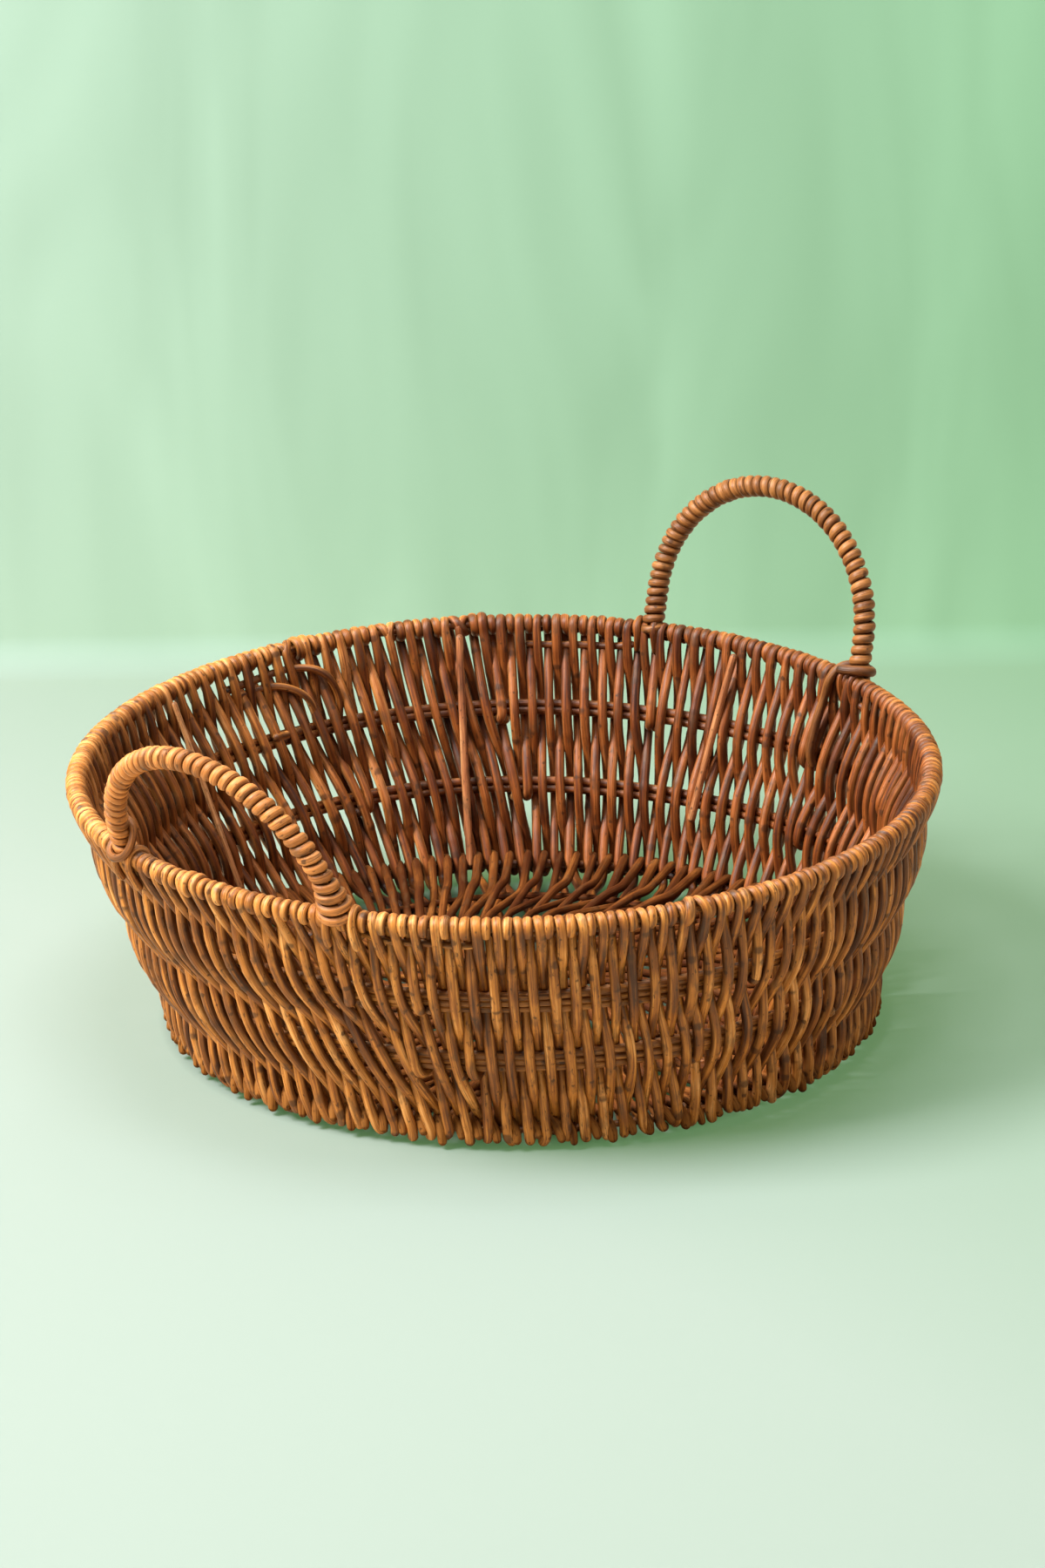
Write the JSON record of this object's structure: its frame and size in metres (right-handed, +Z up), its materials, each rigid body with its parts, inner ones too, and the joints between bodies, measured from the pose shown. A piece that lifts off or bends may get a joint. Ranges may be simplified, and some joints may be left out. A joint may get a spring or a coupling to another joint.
{
  "type": "wicker basket",
  "caption": "Round flared wicker basket of upright willow strands woven over stacked hoops, with a wrapped rim, a radial rod floor and two fixed wrapped hoop handles.",
  "frame": {"origin": "centre of the underside, on the surface that the basket stands on", "axes": "+Z up through the open top; +X towards one handle and -X towards the other"},
  "size_m": [0.4419, 0.4138, 0.2088],
  "materials": {
    "wall_strand": "stained, unpeeled willow with a low satin sheen",
    "floor_rod": "stained willow, slightly darker and redder than the wall",
    "handle_strand": "stained willow strand wound tight, polished by handling",
    "handle_core_rod": "stained willow rod",
    "loose_rod": "paler stained willow",
    "hoop_rod": "stained willow rod bent to a hoop"
  },
  "bodies": {
    "root": {"base_hoop": "hoop_rod", "centre_floor_hoop": "floor_rod", "floor_centre_coil": "floor_rod", "inner_floor_hoop": "floor_rod", "left_handle_core": "handle_core_rod", "left_handle_saddles": "handle_strand", "left_handle_tails": "handle_strand", "left_handle_wrap": "handle_strand", "liner_rods": "loose_rod", "long_bead_strands_1": "wall_strand", "long_bead_strands_2": "wall_strand", "long_bead_strands_3": "wall_strand", "long_bead_strands_4": "wall_strand", "long_bead_strands_5": "wall_strand", "long_bead_strands_6": "wall_strand", "long_bead_strands_7": "wall_strand", "long_bead_strands_8": "wall_strand", "long_floor_spokes_over_centre": "floor_rod", "long_floor_spokes_under_centre": "floor_rod", "lower_hoop_bottom_rod": "hoop_rod", "lower_hoop_top_rod": "hoop_rod", "medium_floor_spokes": "floor_rod", "middle_floor_hoop": "floor_rod", "outer_floor_hoop": "floor_rod", "right_handle_core": "handle_core_rod", "right_handle_saddles": "handle_strand", "right_handle_tails": "handle_strand", "right_handle_wrap": "handle_strand", "rim_hoop": "hoop_rod", "rim_packing_rod": "loose_rod", "short_bead_strands_1": "wall_strand", "short_bead_strands_2": "wall_strand", "short_bead_strands_3": "wall_strand", "short_bead_strands_4": "wall_strand", "short_bead_strands_5": "wall_strand", "short_bead_strands_6": "wall_strand", "short_bead_strands_7": "wall_strand", "short_bead_strands_8": "wall_strand", "short_floor_spokes": "floor_rod", "upper_hoop_bottom_rod": "hoop_rod", "upper_hoop_top_rod": "hoop_rod"}
  },
  "joints": []
}
